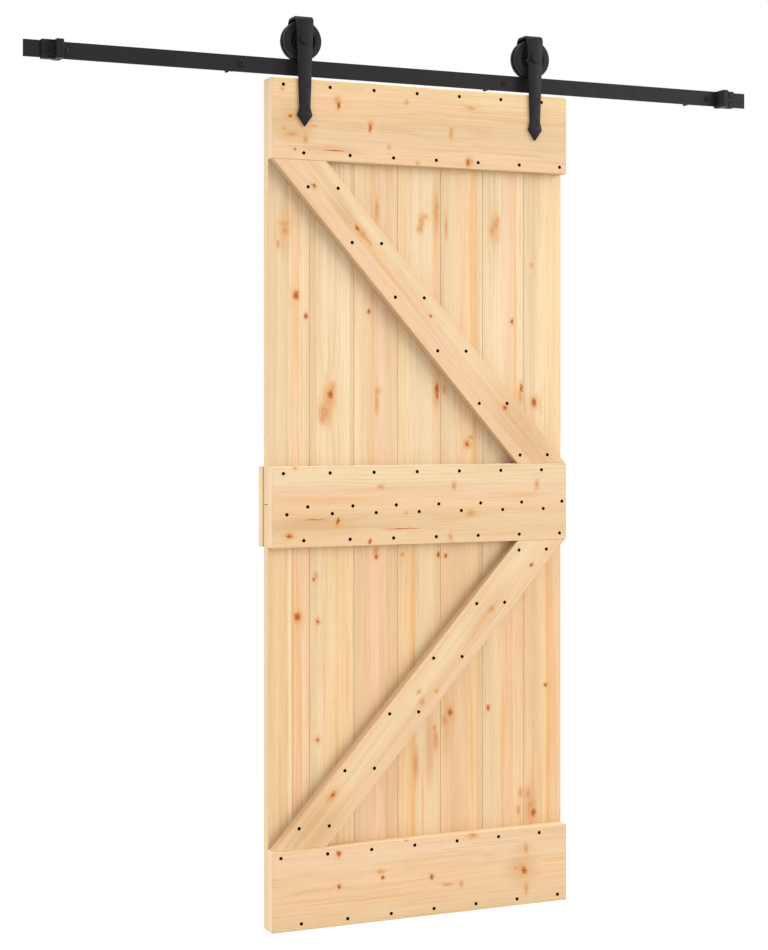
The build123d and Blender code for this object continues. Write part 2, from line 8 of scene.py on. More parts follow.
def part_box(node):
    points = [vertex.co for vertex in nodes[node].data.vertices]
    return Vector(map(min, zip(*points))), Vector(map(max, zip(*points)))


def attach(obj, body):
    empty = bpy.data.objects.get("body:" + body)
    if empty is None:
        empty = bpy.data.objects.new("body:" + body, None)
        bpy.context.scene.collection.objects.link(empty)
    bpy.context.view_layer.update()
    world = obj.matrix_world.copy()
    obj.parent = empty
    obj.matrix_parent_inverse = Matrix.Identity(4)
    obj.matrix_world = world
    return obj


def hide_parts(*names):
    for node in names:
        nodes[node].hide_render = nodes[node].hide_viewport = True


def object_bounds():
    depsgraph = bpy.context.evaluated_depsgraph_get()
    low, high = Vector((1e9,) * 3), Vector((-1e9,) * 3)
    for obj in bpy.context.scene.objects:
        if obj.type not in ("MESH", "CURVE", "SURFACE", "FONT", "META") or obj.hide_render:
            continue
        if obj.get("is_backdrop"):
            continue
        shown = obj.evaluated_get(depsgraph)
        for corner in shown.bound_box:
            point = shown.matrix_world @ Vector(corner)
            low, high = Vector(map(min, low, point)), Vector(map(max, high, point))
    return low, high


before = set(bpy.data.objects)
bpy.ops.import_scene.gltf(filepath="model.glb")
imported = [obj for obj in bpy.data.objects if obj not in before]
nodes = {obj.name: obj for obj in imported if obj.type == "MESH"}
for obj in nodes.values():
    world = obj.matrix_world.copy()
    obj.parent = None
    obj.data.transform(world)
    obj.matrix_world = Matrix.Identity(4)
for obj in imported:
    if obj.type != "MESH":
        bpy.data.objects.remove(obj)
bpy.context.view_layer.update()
scene = bpy.context.scene

MM = 0.001
SIDES = ("left", "right")

# Points closer than this are one, in the CAD's meshes and in the ones made here
CAD_MERGE = 0.01 * MM
MERGE = 0.0001 * MM

# Wood colours as they look in daylight, from 0 to 255
CREAM = (247, 219, 177)
YELLOW = (247, 212, 158)
PEACH = (246, 203, 158)
PINK = (246, 206, 170)
TAN = (234, 198, 152)
GREY = (237, 210, 167)
ORANGE = (240, 182, 118)
AMBER = (214, 146, 84)
LATE_WOOD = (222, 172, 116)
FIBRE_BROWN = (208, 166, 116)
FIBRE_PALE = (252, 226, 184)
BROWN_SHADE = (226, 180, 128)
PALE_KNOT = (208, 146, 88)
RED_BROWN = (200, 106, 40)
KNOT_DARK = (126, 68, 24)
# Painted light: the pale colour laid on edges that face left or up
LIT_EDGE_PAINT = (252, 222, 180)

# How much light front faces and edges get, so that the colours above come out as they look
DAYLIGHT = 1.72
# How much light the painted-paler edges facing left or up are taken to get
EDGE_LIGHT = 1.25

# The boards, the upper planks and the lower planks come from differently toned wood
BOARD_TONE = (1.0, 1.0, 0.97, 1)
UPPER_TONE = (1.06, 1.07, 1.08, 1)
LOWER_TONE = (1.04, 1.0, 0.96, 1)

# Dark and metal colours, linear
COAT = (0.0112, 0.0094, 0.0112, 1)
COAT_CLOUD = (0.0124, 0.0106, 0.0124, 1)
COAT_SPECK = (0.016, 0.014, 0.016, 1)
OXIDE = (0.0008, 0.0006, 0.0005, 1)
OXIDE_WORN = (0.002, 0.0016, 0.0014, 1)
RUBBER = (0.011, 0.011, 0.012, 1)
RUBBER_DUSTY = (0.022, 0.021, 0.021, 1)
GROUND_STEEL = (0.2, 0.2, 0.21, 1)
OILY_STEEL = (0.15, 0.145, 0.14, 1)
FLOOR_WHITE = (0.6, 0.6, 0.6, 1)


def linear(colour, light):
    """A 0 to 255 colour as Blender's linear one, made darker for the light that falls on it."""
    shares = [value / 255 for value in colour]
    shares = [s / 12.92 if s <= 0.04045 else ((s + 0.055) / 1.055) ** 2.4 for s in shares]
    return (*[s / light for s in shares], 1.0)


class Tree:
    """A material's node tree, with short calls to add nodes to it."""

    def __init__(self, name):
        self.material = bpy.data.materials.new(name)
        self.material.use_nodes = True
        self.tree = self.material.node_tree
        self.shader = self.tree.nodes["Principled BSDF"]

    def add(self, kind, inputs=None, **settings):
        node = self.tree.nodes.new("ShaderNode" + kind)
        for key, value in settings.items():
            setattr(node, key, value)
        for key, value in (inputs or {}).items():
            self.put(node.inputs[key], value)
        return node

    def put(self, socket, value):
        if isinstance(value, bpy.types.NodeSocket):
            self.tree.links.new(value, socket)
        else:
            socket.default_value = value

    def math(self, operation, *values):
        node = self.add("Math", operation=operation)
        for index, value in enumerate(values):
            self.put(node.inputs[index], value)
        return node.outputs[0]

    def place(self, vector, kind="POINT", **inputs):
        return self.add("Mapping", {"Vector": vector, **inputs}, vector_type=kind).outputs[0]

    def noise(self, vector, detail, rough):
        sockets = {"Vector": vector, "Scale": 1.0, "Detail": detail, "Roughness": rough}
        return self.add("TexNoise", sockets).outputs["Fac"]

    def grit(self, scale, detail=3.0, rough=0.6):
        """Noise in the object's space, at so many waves a metre along each axis."""
        position = self.add("TexCoord").outputs["Object"]
        return self.noise(self.place(position, Scale=scale), detail, rough)

    def steps(self, value, low, high, out_low=0.0, out_high=1.0):
        """A smooth step from out_low to out_high as value goes from low to high."""
        sockets = {0: value, 1: low, 2: high, 3: out_low, 4: out_high}
        return self.add("MapRange", sockets, interpolation_type="SMOOTHSTEP").outputs[0]

    def mix(self, share, first, second, blend="MIX"):
        node = self.add("Mix", data_type="RGBA", blend_type=blend)
        self.put(node.inputs[0], share)
        self.put(node.inputs[6], first)
        self.put(node.inputs[7], second)
        return node.outputs[2]

    def ramp(self, value, stops):
        """Colours along a value: stops are (place, colour)."""
        node = self.add("ValToRGB", {"Fac": value})
        elements = node.color_ramp.elements
        while len(elements) < len(stops):
            elements.new(0.5)
        for element, (place, colour) in zip(elements, stops):
            element.position = place
            element.color = colour
        return node.outputs["Color"]

    def surface(self, colour, roughness, gloss, metallic=0.0):
        self.put(self.shader.inputs["Base Color"], colour)
        self.put(self.shader.inputs["Roughness"], roughness)
        self.shader.inputs["Specular IOR Level"].default_value = gloss
        self.shader.inputs["Metallic"].default_value = metallic

    def bump(self, height, depth):
        """Relief from a height of 0 to 1, with its depth in mm."""
        node = self.add("Bump", {"Height": height, "Strength": 1.0, "Distance": depth * MM})
        self.put(self.shader.inputs["Normal"], node.outputs[0])


# The wood's noises, in waves a metre along the grain, into the wood and across it: slow bends of the
# rings, ripples and torn edges of the knots, straying tints, patches, grain lines, where the rings
# show, fibres and dashes
WAVE = (2.2, 9, 9)
RIPPLE = (70, 70, 70)
TEAR = (230, 320, 320)
DRIFT = (1.1, 5, 22)
PATCH = (2.0, 30, 34)
GRAIN = (3, 260, 260)
SHOWN = (1.4, 26, 26)
FIBRE = (9, 700, 700)
DASH = (22, 420, 420)

# How far, in mm, ripples push a knot's outline along and across the grain
RIPPLE_ALONG = 12
RIPPLE_ACROSS = 5

# How far the tint bands stray, as a share of the board's width
BAND_DRIFT = 0.06

# In metres, how deep a knot runs into the wood and how far it pushes the growth rings aside
KNOT_DEPTH = 0.2
DARK_PUSH = 0.006
PALE_PUSH = 0.005

# Knots, streaks and shades are measured from the leaf's lower left corner
LEAF_LEFT, _, LEAF_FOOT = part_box("lower_plank_1")[0]


class Pine(Tree):
    """Planed pine. Its own axes run along the grain, into the wood and across the grain."""

    def __init__(self, name, slope, seed):
        super().__init__("pine_" + name)
        low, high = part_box(name)
        self.centre = [(a + b) / 2 for a, b in zip(low, high)]
        self.slope = slope
        self.draw = random.Random(seed)
        self.shift = [self.draw.uniform(-40, 40) for _ in range(3)]
        self.other_shift = self.shift[::-1]
        position = self.add("TexCoord").outputs["Object"]
        self.local = self.place(position, "TEXTURE", Location=self.centre, Rotation=(0, -slope, 0))
        self.axes = self.add("SeparateXYZ", {0: self.local}).outputs
        self.tear = self.figure(TEAR, 3.0, 0.6)
        self.ragged = self.math("MULTIPLY_ADD", self.tear, 1.6, 0.1)
        self.rippled = self.ripple()
        self.patch = self.figure(PATCH, shift=self.other_shift)
        self.grain = self.figure(GRAIN, 3.0, 0.65)
        self.fibre = self.figure(FIBRE, 3.0, 0.65)

    def figure(self, scale, detail=2.0, rough=0.5, shift=None):
        """One of the wood's noises, at a place of its own for each piece."""
        place = self.place(self.local, Location=shift or self.shift, Scale=scale)
        return self.noise(place, detail, rough)

    def ripple(self):
        """The wood's place, pushed about a little."""
        push = self.math("SUBTRACT", self.figure(RIPPLE, 2.0, 0.6), 0.5)
        sockets = {"X": self.math("MULTIPLY", push, RIPPLE_ALONG * MM),
                   "Z": self.math("MULTIPLY", push, RIPPLE_ACROSS * MM)}
        offset = self.add("CombineXYZ", sockets).outputs[0]
        return self.add("VectorMath", {0: self.local, 1: offset}, operation="ADD").outputs[0]

    def spots(self, places, torn=True):
        """The nearest spot's distance in its own radii: 0 at its middle and 1 at its edge.

        Places are (x, z, radius along the grain, radius across it) in mm."""
        nearest = None
        for x, z, along, across in places:
            dx = LEAF_LEFT + x * MM - self.centre[0]
            dz = LEAF_FOOT + z * MM - self.centre[2]
            location = (math.cos(self.slope) * dx + math.sin(self.slope) * dz, 0,
                        math.cos(self.slope) * dz - math.sin(self.slope) * dx)
            radii = (along * MM, KNOT_DEPTH, across * MM)
            spot = self.place(self.rippled, "TEXTURE", Location=location, Scale=radii)
            distance = self.add("VectorMath", {0: spot}, operation="LENGTH").outputs["Value"]
            nearest = distance if nearest is None else self.math("MINIMUM", nearest, distance)
        if nearest is None or not torn:
            return nearest
        return self.math("MULTIPLY", nearest, self.ragged)

    def lay(self, amount, colour):
        """Lays a colour over what is there, as far as the amount says."""
        self.colour = self.mix(amount, self.colour, linear(colour, DAYLIGHT))

    def bands(self, tints, width):
        """Tints in bands across the board, which stray a little, with browner and paler patches."""
        across = self.math("MULTIPLY_ADD", self.axes["Z"], 1 / (width * MM), 0.5)
        drift = self.math("SUBTRACT", self.figure(DRIFT, 3.0, 0.6), 0.5)
        band = self.math("MULTIPLY_ADD", drift, BAND_DRIFT, across)
        self.colour = self.ramp(band, [(place, linear(tint, DAYLIGHT)) for place, tint in tints])
        self.lay(self.steps(self.patch, 0.45, 0.75, 0.0, 0.5), TAN)
        self.lay(self.steps(self.patch, 0.5, 0.24, 0.0, 0.36), CREAM)

    def brown_shades(self, places):
        distance = self.spots(places, torn=False)
        if distance is not None:
            broken = self.steps(self.patch, 0.25, 0.6, 0.35, 0.9)
            self.lay(self.math("MULTIPLY", self.steps(distance, 1.2, 0.2), broken), BROWN_SHADE)

    def growth_rings(self, width, ring, wander, dark, pale):
        """Rings round a pith behind the board, bent by the knots."""
        pith_across = self.draw.uniform(-0.25, 0.25) * width * MM
        pith_depth = self.draw.uniform(0.05, 0.1)
        side = self.math("SUBTRACT", self.axes["Z"], pith_across)
        depth = self.math("SUBTRACT", self.axes["Y"], pith_depth)
        square = self.math("ADD", self.math("MULTIPLY", side, side), self.math("MULTIPLY", depth, depth))
        radius = self.math("MULTIPLY_ADD", self.figure(WAVE), wander * 2 * MM, self.math("SQRT", square))
        for distance, push in ((dark, DARK_PUSH), (pale, PALE_PUSH)):
            if distance is not None:
                hill = self.math("EXPONENT", self.math("MULTIPLY", distance, -0.62))
                radius = self.math("MULTIPLY_ADD", hill, push, radius)
        phase = self.math("MULTIPLY_ADD", self.grain, 1.1, self.math("DIVIDE", radius, ring * MM))
        late = self.steps(self.math("PINGPONG", phase, 0.5), 0.26, 0.5)
        shown = self.steps(self.figure(SHOWN, shift=self.other_shift), 0.34, 0.72, 0.08, 0.4)
        self.late = self.math("MULTIPLY", late, shown)
        self.lay(self.late, LATE_WOOD)

    def fibres(self):
        """Fine fibres and short darker dashes."""
        dash = self.figure(DASH, 3.0, 0.7, self.other_shift)
        self.lay(self.steps(self.fibre, 0.5, 0.8, 0.0, 0.32), FIBRE_BROWN)
        self.lay(self.steps(dash, 0.54, 0.74, 0.0, 0.4), FIBRE_BROWN)
        self.lay(self.steps(self.grain, 0.47, 0.25, 0.0, 0.55), FIBRE_PALE)
        self.lay(self.steps(self.grain, 0.53, 0.72, 0.0, 0.42), FIBRE_BROWN)

    def resin_streaks(self, places):
        distance = self.spots(places, torn=False)
        if distance is not None:
            self.lay(self.steps(distance, 1.1, 0.2, 0.0, 0.6), ORANGE)

    def pale_knots(self, distance):
        """Grown-in knots: faint rings in an orange halo, with a few red marks."""
        self.lay(self.steps(distance, 2.0, 0.7, 0.0, 0.5), ORANGE)
        turns = self.math("PINGPONG", self.math("MULTIPLY", distance, 1.6), 0.5)
        rings = self.steps(turns, 0.0, 0.5, 0.35, 1.0)
        self.lay(self.math("MULTIPLY", self.steps(distance, 1.2, 0.5, 0.0, 0.8), rings), PALE_KNOT)
        marks = self.steps(self.tear, 0.56, 0.66, 0.0, 0.7)
        self.lay(self.math("MULTIPLY", self.steps(distance, 1.2, 0.6), marks), RED_BROWN)

    def dark_knots(self, distance):
        """Dead knots: an orange halo, a red-brown rim and a dark middle."""
        self.lay(self.steps(distance, 2.4, 1.0, 0.0, 0.6), ORANGE)
        self.lay(self.steps(distance, 1.3, 0.85, 0.0, 0.85), RED_BROWN)
        self.lay(self.steps(distance, 0.75, 0.25, 0.0, 0.7), KNOT_DARK)

    def paint_lit_edges(self, amount):
        """Painted light: edges that face the leaf's left or its top are painted paler, as the photograph
        shows them.
        """
        normal = self.add("TexCoord").outputs["Normal"]
        sockets = {0: normal, 1: (-0.7, 0, 0.7)}
        facing = self.add("VectorMath", sockets, operation="DOT_PRODUCT").outputs["Value"]
        edge = self.steps(facing, 0.3, 0.6, 0.0, amount)
        self.colour = self.mix(edge, self.colour, linear(LIT_EDGE_PAINT, EDGE_LIGHT))


def pine(name, width, seed, tints, slope=0.0, knots=(), pale_knots=(), streaks=(), shades=(), ring=3.6,
         wander=1.8, painted_edge_light=0.5, tone=BOARD_TONE):
    """Pine for one piece. slope is the grain's; tints go across the board, at shares of its width."""
    wood = Pine(name, slope, seed)
    dark, pale = wood.spots(knots), wood.spots(pale_knots)
    wood.bands(tints, width)
    wood.brown_shades(shades)
    wood.growth_rings(width, ring, wander, dark, pale)
    wood.fibres()
    wood.resin_streaks(streaks)
    if pale is not None:
        wood.pale_knots(pale)
    if dark is not None:
        wood.dark_knots(dark)
    wood.colour = wood.mix(1.0, wood.colour, tone, "MULTIPLY")
    # Painted light: edges that face left or up are painted paler
    wood.paint_lit_edges(painted_edge_light)
    wood.surface(wood.colour, wood.steps(wood.fibre, 0.3, 0.8, 0.5, 0.68), gloss=0.3)
    wood.bump(wood.math("MULTIPLY_ADD", wood.late, 0.6, wood.fibre), 0.12)
    return wood.material


def powder_coat():
    """Black powder coat on steel: a fine even grain, satin."""
    tree = Tree("black_powder_coat")
    cloud = tree.grit((9, 9, 9))
    speck = tree.grit((1400, 1400, 1400), 2.0)
    blotch = tree.grit((60, 60, 60))
    colour = tree.mix(tree.steps(cloud, 0.3, 0.7), COAT, COAT_CLOUD)
    colour = tree.mix(tree.steps(speck, 0.55, 0.8, 0.0, 0.4), colour, COAT_SPECK)
    tree.surface(colour, tree.steps(blotch, 0.3, 0.7, 0.42, 0.5), gloss=0.09)
    tree.bump(tree.math("MULTIPLY_ADD", blotch, 0.5, speck), 0.05)
    return tree.material


def blackened():
    """Black oxide on screw heads, nearly without gloss."""
    tree = Tree("black_oxide")
    wear = tree.grit((900, 900, 900), 2.0)
    colour = tree.mix(tree.steps(wear, 0.4, 0.8), OXIDE, OXIDE_WORN)
    tree.surface(colour, tree.steps(wear, 0.3, 0.8, 0.5, 0.7), gloss=0.03)
    return tree.material


def rubber():
    """Black rubber with fine pores and a little dust."""
    tree = Tree("black_rubber")
    dust = tree.grit((40, 40, 40), 4.0, 0.65)
    pore = tree.grit((2200, 2200, 2200), 1.0, 0.5)
    colour = tree.mix(tree.steps(dust, 0.4, 0.8), RUBBER, RUBBER_DUSTY)
    tree.surface(colour, tree.steps(dust, 0.3, 0.8, 0.72, 0.86), gloss=0.25)
    tree.bump(pore, 0.04)
    return tree.material


def ground_steel():
    """Ground bearing steel with faint turning marks and a film of oil."""
    tree = Tree("bearing_steel")
    film = tree.grit((120, 120, 120))
    marks = tree.grit((300, 5200, 300), 2.0)
    colour = tree.mix(tree.steps(film, 0.35, 0.75), GROUND_STEEL, OILY_STEEL)
    tree.surface(colour, tree.steps(film, 0.3, 0.8, 0.24, 0.42), gloss=0.5, metallic=1.0)
    tree.bump(marks, 0.03)
    return tree.material


steel = powder_coat()
screw_black = blackened()
black_rubber = rubber()
bearing_steel = ground_steel()


def finish_with(obj, material):
    obj.data.materials.clear()
    obj.data.materials.append(material)


def dress(name, material, edge):
    """Gives a CAD node its material, and a small round, in mm, along its edges."""
    obj = nodes[name]
    finish_with(obj, material)
    weld = obj.modifiers.new("weld", "WELD")
    weld.merge_threshold = CAD_MERGE
    bevel = obj.modifiers.new("edge", "BEVEL")
    bevel.width = edge * MM
    bevel.segments = 2
    bevel.limit_method = "ANGLE"
    bevel.angle_limit = math.radians(28)
    bevel.harden_normals = True


# Boards and planks, in mm, all planed pine with their own grain
BOARD_WIDTH = 200
BRACE_WIDTH = 105
PLANK_WIDTH = 120
BOARD_WANDER = 14.0
# Share of painted light laid on the boards' edges that face left or up
BOARD_PAINTED_EDGE_LIGHT = 0.62
BRACE_RING = 4.2
BOARD_ROUND = 0.5
PLANK_ROUND = 0.4

# The planks' grain stands upright, and the braces' follows their slope
UP = -math.pi / 2
BRACE_END = 0.14
brace_low, brace_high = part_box("upper_brace")
brace_slope = math.atan2(brace_high[2] - brace_low[2], brace_high[0] - brace_low[0] - BRACE_END)

BOARDS = {
    "top_board": dict(
        seed=11, ring=8.0, tints=[(0.0, PEACH), (0.2, PINK), (0.45, TAN), (0.7, PEACH), (1.0, YELLOW)],
        knots=[(176, 2040, 4, 8), (261, 1988, 4, 9), (533, 1916, 6, 8), (61, 1926, 3, 3), (47, 2006, 5, 4),
               (165, 1927, 26, 1.3)],
        pale_knots=[(47, 2006, 8, 6), (88, 1951, 7, 10), (172, 2052, 9, 9), (313, 1943, 4, 6),
                    (393, 1907, 6, 5), (543, 2056, 14, 5), (486, 1988, 5, 16), (361, 2059, 6, 6),
                    (30, 1975, 5, 4), (263, 1998, 7, 7), (540, 1918, 9, 10), (28, 2072, 6, 4),
                    (52, 1962, 14, 5), (110, 1985, 10, 3)],
        streaks=[(140, 1935, 70, 3), (700, 2030, 90, 6)],
        shades=[(60, 1990, 70, 70), (150, 1930, 120, 14)]),
    "middle_board": dict(
        seed=23, ring=8.5,
        tints=[(0.0, PEACH), (0.25, TAN), (0.5, PEACH), (0.72, PINK), (0.8, CREAM), (1.0, CREAM)],
        knots=[(174, 1006, 4, 7), (261, 954, 4, 6), (46, 973, 7, 4), (112, 1012, 24, 1.2),
               (350, 984, 40, 1.0)],
        pale_knots=[(46, 973, 12, 8), (290, 1090, 9, 5), (361, 1024, 4, 4), (494, 1089, 6, 10),
                    (542, 1018, 14, 8), (732, 1088, 6, 12), (484, 958, 6, 9), (60, 1140, 5, 4),
                    (172, 1000, 7, 10)],
        streaks=[(150, 1060, 200, 10), (690, 1062, 90, 8)],
        shades=[(120, 1000, 160, 26)]),
    "bottom_board": dict(
        seed=37, ring=7.5, tints=[(0.0, TAN), (0.3, PEACH), (0.6, PEACH), (0.85, PINK), (1.0, PEACH)],
        knots=[(177, 98, 5, 5), (177, 181, 6, 7), (296, 110, 4, 4), (695, 89, 7, 8), (432, 98, 5, 6)],
        pale_knots=[(546, 194, 12, 8), (476, 74, 16, 4), (514, 72, 6, 8), (671, 98, 4, 5),
                    (701, 146, 5, 14), (701, 41, 6, 14), (360, 198, 5, 4), (290, 125, 12, 5),
                    (690, 95, 12, 12)],
        streaks=[(790, 110, 60, 8), (300, 60, 120, 5)],
        shades=[(690, 100, 60, 60)]),
    "back_batten": dict(
        seed=61, ring=8.0, tints=[(0.0, TAN), (0.4, CREAM), (0.7, PEACH), (1.0, TAN)],
        knots=[(210, 1020, 6, 7), (602, 1090, 5, 6)],
        pale_knots=[(420, 985, 9, 6), (705, 1000, 8, 6)]),
}
BRACES = {
    "upper_brace": dict(
        seed=41, slope=-brace_slope,
        tints=[(0.0, PEACH), (0.3, PINK), (0.6, PEACH), (0.8, CREAM), (1.0, PEACH)],
        knots=[(226, 1737, 7, 4), (112, 1838, 4, 3), (428, 1522, 4, 3), (640, 1288, 5, 4)],
        pale_knots=[(250, 1712, 26, 4), (640, 1288, 12, 8), (240, 1722, 16, 7), (108, 1836, 9, 5)],
        streaks=[(300, 1640, 160, 8)],
        shades=[(690, 1230, 200, 70), (200, 1760, 90, 20)]),
    "lower_brace": dict(
        seed=53, slope=brace_slope, tints=[(0.0, PINK), (0.35, PEACH), (0.6, CREAM), (1.0, PEACH)],
        knots=[(161, 328, 6, 4), (716, 880, 5, 4)],
        pale_knots=[(600, 770, 12, 7), (445, 570, 6, 5), (404, 545, 9, 6), (158, 325, 16, 9),
                    (395, 570, 7, 5)],
        streaks=[(560, 720, 90, 6)],
        shades=[(590, 775, 120, 40), (110, 250, 130, 60)]),
}
UPPER_PLANKS = {
    1: dict(
        tints=[(0.0, TAN), (0.3, GREY), (0.47, TAN), (0.49, FIBRE_PALE), (0.52, PEACH), (0.66, PEACH),
               (0.68, ORANGE), (0.71, CREAM), (1.0, TAN)],
        knots=[(74, 1568, 10, 7), (101, 1515, 6, 5)],
        pale_knots=[(45, 1728, 12, 9), (27, 1693, 9, 5), (44, 1745, 6, 12)],
        streaks=[(74, 1500, 190, 9)],
        shades=[(40, 1730, 90, 26)]),
    2: dict(
        tints=[(0.0, TAN), (0.12, TAN), (0.14, FIBRE_PALE), (0.17, GREY), (0.33, CREAM), (0.85, CREAM),
               (0.9, TAN), (1.0, TAN)],
        knots=[(166, 1322, 10, 7)],
        pale_knots=[(164, 1315, 26, 14), (150, 1278, 22, 15), (172, 1338, 14, 8), (144, 1262, 14, 8)],
        shades=[(158, 1300, 70, 24)]),
    3: dict(
        tints=[(0.0, CREAM), (0.35, PEACH), (0.37, ORANGE), (0.4, TAN), (0.6, PINK), (0.8, TAN), (1.0, PINK)],
        knots=[(270, 1532, 6, 4)],
        pale_knots=[(292, 1300, 26, 6), (292, 1790, 28, 6), (294, 1330, 12, 8)],
        streaks=[(292, 1300, 110, 6)]),
    4: dict(
        tints=[(0.0, YELLOW), (0.3, CREAM), (0.5, GREY), (0.74, CREAM), (0.8, PEACH), (1.0, TAN)],
        knots=[(459, 1338, 12, 5), (460, 1320, 8, 3)],
        pale_knots=[(416, 1762, 20, 8), (458, 1787, 40, 6), (458, 1320, 26, 8), (412, 1745, 12, 9),
                    (424, 1775, 8, 10)],
        streaks=[(455, 1700, 90, 7), (462, 1400, 150, 5)],
        shades=[(455, 1790, 80, 16)]),
    5: dict(
        tints=[(0.0, TAN), (0.25, GREY), (0.4, PEACH), (0.6, PEACH), (0.64, YELLOW), (0.8, ORANGE),
               (0.84, TAN), (1.0, CREAM)],
        knots=[(545, 1195, 5, 4)],
        pale_knots=[(486, 1750, 30, 4), (480, 1335, 12, 5), (546, 1195, 12, 11), (556, 1212, 6, 9)],
        streaks=[(556, 1700, 260, 8)]),
    6: dict(
        tints=[(0.0, GREY), (0.35, CREAM), (0.55, PINK), (0.72, PEACH), (0.76, ORANGE), (0.8, CREAM),
               (1.0, CREAM)],
        knots=[(675, 1512, 6, 4), (702, 1340, 9, 4)],
        pale_knots=[(627, 1761, 14, 9), (618, 1745, 12, 8), (700, 1320, 26, 6), (634, 1775, 8, 5)],
        streaks=[(698, 1740, 80, 5), (690, 1300, 70, 4)],
        shades=[(625, 1755, 60, 20)]),
    7: dict(
        tints=[(0.0, GREY), (0.3, TAN), (0.36, CREAM), (0.8, YELLOW), (1.0, CREAM)],
        knots=[(740, 1302, 9, 6)],
        pale_knots=[(733, 1660, 6, 5), (740, 1302, 16, 10)],
        streaks=[(760, 1290, 60, 4)]),
}
LOWER_PLANKS = {
    1: dict(
        tints=[(0.0, TAN), (0.3, YELLOW), (0.42, TAN), (0.49, FIBRE_PALE), (0.54, CREAM), (0.55, AMBER),
               (0.57, PEACH), (0.64, PEACH), (0.655, ORANGE), (0.67, PEACH), (0.74, PEACH),
               (0.755, ORANGE), (0.77, CREAM), (0.9, PEACH), (1.0, TAN)],
        knots=[(78, 770, 10, 7)],
        pale_knots=[(80, 768, 16, 10)],
        streaks=[(68, 640, 330, 4), (88, 480, 260, 4), (78, 800, 90, 6)]),
    2: dict(
        tints=[(0.0, GREY), (0.15, GREY), (0.2, CREAM), (0.6, YELLOW), (0.78, YELLOW), (0.95, CREAM),
               (1.0, TAN)],
        knots=[(121, 862, 4, 3), (132, 757, 4, 3), (131, 462, 4, 3)],
        pale_knots=[(132, 757, 9, 6), (131, 462, 8, 6), (126, 870, 9, 5)],
        streaks=[(213, 620, 160, 8)]),
    3: dict(
        tints=[(0.0, TAN), (0.4, PINK), (0.7, PEACH), (0.72, TAN), (1.0, TAN)],
        knots=[(290, 913, 5, 4)],
        pale_knots=[(290, 925, 14, 6)],
        streaks=[(262, 700, 200, 4)]),
    4: dict(
        tints=[(0.0, PEACH), (0.2, YELLOW), (0.35, ORANGE), (0.4, GREY), (0.75, CREAM), (1.0, TAN)],
        knots=[(464, 912, 6, 4)],
        pale_knots=[(363, 915, 6, 6), (456, 440, 26, 6), (400, 380, 40, 8), (452, 470, 8, 5)],
        streaks=[(392, 800, 120, 6), (420, 300, 150, 6)],
        shades=[(440, 420, 120, 20)]),
    5: dict(
        tints=[(0.0, PEACH), (0.4, TAN), (0.65, PEACH), (0.68, YELLOW), (0.8, YELLOW), (0.84, TAN),
               (1.0, TAN)],
        knots=[(484, 909, 5, 4), (497, 507, 8, 6)],
        pale_knots=[(496, 505, 18, 13), (484, 488, 14, 10), (560, 40, 30, 14)],
        streaks=[(558, 420, 200, 7)],
        shades=[(486, 480, 110, 22)]),
    6: dict(
        tints=[(0.0, GREY), (0.32, CREAM), (0.42, PEACH), (0.7, PEACH), (0.74, YELLOW), (1.0, TAN)],
        knots=[(606, 512, 6, 4)],
        pale_knots=[(700, 285, 12, 6), (694, 240, 12, 5), (596, 690, 12, 4)],
        streaks=[(648, 450, 200, 10)]),
    7: dict(
        tints=[(0.0, PEACH), (0.3, TAN), (0.55, YELLOW), (0.62, ORANGE), (0.75, PEACH), (1.0, CREAM)],
        knots=[(738, 230, 9, 6), (775, 560, 5, 4), (718, 832, 5, 4)],
        pale_knots=[(722, 280, 14, 8), (730, 240, 30, 12), (716, 838, 10, 6)],
        streaks=[(736, 330, 90, 4), (800, 500, 250, 8)],
        shades=[(730, 250, 90, 22)]),
}

for name, look in BOARDS.items():
    wood = pine(name, BOARD_WIDTH, wander=BOARD_WANDER, painted_edge_light=BOARD_PAINTED_EDGE_LIGHT, **look)
    dress(name, wood, BOARD_ROUND)
for name, look in BRACES.items():
    wood = pine(name, BRACE_WIDTH, ring=BRACE_RING, painted_edge_light=0.0, **look)
    dress(name, wood, BOARD_ROUND)
rows = (("upper", UPPER_PLANKS, UPPER_TONE, 100), ("lower", LOWER_PLANKS, LOWER_TONE, 200))
for row, planks, tone, first_seed in rows:
    for number, look in planks.items():
        name = f"{row}_plank_{number}"
        seed = first_seed + number * 7
        wood = pine(name, PLANK_WIDTH, seed, slope=UP, tone=tone, **look)
        dress(name, wood, PLANK_ROUND)


# Solids made in code, with their sizes in mm
HOLE_SIDES = 40


def rounded(points, closed=False, steps=4):
    """A polyline of (r, y, fillet) with each corner replaced by an arc of its fillet."""
    result = []
    count = len(points)
    for index, (r, y, fillet) in enumerate(points):
        inside = closed or 0 < index < count - 1
        if not fillet or not inside:
            result.append((r, y))
            continue
        here = Vector((r, y))
        before = Vector(points[index - 1][:2]) - here
        after = Vector(points[(index + 1) % count][:2]) - here
        half = before.angle(after) / 2
        reach = min(fillet / math.tan(half), before.length * 0.49, after.length * 0.49)
        bisector = (before.normalized() + after.normalized()).normalized()
        centre = here + bisector * (reach / math.cos(half))
        start = here + before.normalized() * reach - centre
        end = here + after.normalized() * reach - centre
        turn = start.angle_signed(end)
        for step in range(steps + 1):
            arm = start.copy()
            arm.rotate(Matrix.Rotation(-turn * step / steps, 2))
            result.append(tuple(centre + arm))
    return result


